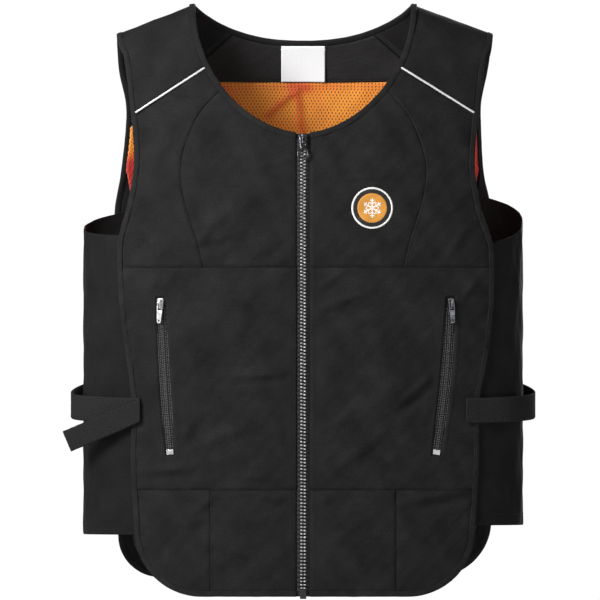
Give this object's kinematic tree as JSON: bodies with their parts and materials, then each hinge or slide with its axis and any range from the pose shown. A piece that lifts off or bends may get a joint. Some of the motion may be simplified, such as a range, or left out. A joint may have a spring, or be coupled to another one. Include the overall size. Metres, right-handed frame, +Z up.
{
  "type": "cooling vest",
  "caption": "Sleeveless black work vest with an orange mesh lining, a front zip, slanted zip pockets, stretch side panels, bound edges and waist straps, in the shape it has when worn.",
  "frame": {"origin": "midway between the two shoulders, at the height of the neck points, where the yokes rest on the wearer", "axes": "+Z up, -Y towards the front zip, -X towards the side that is on the left in a front view"},
  "size_m": [0.5597, 0.1834, 0.7042],
  "materials": {
    "shell_cloth": "matte woven work cloth, black",
    "stretch_cloth": "matte knitted stretch cloth, black",
    "binding_tape": "folded binding tape, black",
    "lining_mesh": "perforated knitted mesh, orange",
    "webbing": "fuzzy woven webbing, black",
    "reflective_piping": "reflective piping, silver grey",
    "zip_textile": "woven zip tape and nylon coil, black",
    "zip_teeth": "metal teeth, grey",
    "zip_box_plastic": "moulded plastic, black",
    "gunmetal_metal": "die-cast metal with a gunmetal plating",
    "label_cloth": "woven satin label, white, blank",
    "badge_print": "heat-pressed badge, orange and white"
  },
  "bodies": {
    "vest": {"front_hem_centre_left": "shell_cloth", "front_hem_side_left": "shell_cloth", "front_waist_left": "shell_cloth", "front_chest_centre_left": "shell_cloth", "front_chest_side_left": "shell_cloth", "yoke_left": "shell_cloth", "side_panel_left": "stretch_cloth", "front_lining_left": "lining_mesh", "front_binding_left": "binding_tape", "piping_left": "reflective_piping", "pocket_tape_left": "zip_textile", "pocket_coil_left": "zip_textile", "pocket_stop_left": "gunmetal_metal", "pocket_slider_left": "gunmetal_metal", "strap_left": "webbing", "front_hem_centre_right": "shell_cloth", "front_hem_side_right": "shell_cloth", "front_waist_right": "shell_cloth", "front_chest_centre_right": "shell_cloth", "front_chest_side_right": "shell_cloth", "yoke_right": "shell_cloth", "side_panel_right": "stretch_cloth", "front_lining_right": "lining_mesh", "front_binding_right": "binding_tape", "piping_right": "reflective_piping", "pocket_tape_right": "zip_textile", "pocket_coil_right": "zip_textile", "pocket_stop_right": "gunmetal_metal", "pocket_slider_right": "gunmetal_metal", "strap_right": "webbing", "strap_tail": "webbing", "back_panel": "shell_cloth", "back_lining": "lining_mesh", "back_facing": "shell_cloth", "neck_binding": "binding_tape", "back_binding": "binding_tape", "zip_tape_left": "zip_textile", "zip_tape_right": "zip_textile", "zip_chain": "zip_teeth", "zip_slider": "gunmetal_metal", "zip_box": "zip_box_plastic", "care_label": "label_cloth", "chest_badge": "badge_print"},
    "zip_pull": {"zip_pull": "gunmetal_metal"},
    "pocket_pull_left": {"pocket_pull_left": "gunmetal_metal"},
    "pocket_pull_right": {"pocket_pull_right": "gunmetal_metal"}
  },
  "joints": [
    {"name": "zip_pull_hinge", "type": "hinge", "parent": "vest", "child": "zip_pull", "pos_m": [0, -0.08623, -0.15906], "axis": [-1, 0, 0], "range_deg": [0, 160]},
    {"name": "pocket_pull_left_hinge", "type": "hinge", "parent": "vest", "child": "pocket_pull_left", "pos_m": [-0.16894, -0.08131, -0.35363], "axis": [-0.9742, 0.2151, 0.0676], "range_deg": [0, 160]},
    {"name": "pocket_pull_right_hinge", "type": "hinge", "parent": "vest", "child": "pocket_pull_right", "pos_m": [0.17506, -0.07984, -0.35363], "axis": [-0.9692, -0.2339, -0.0776], "range_deg": [0, 160]}
  ]
}
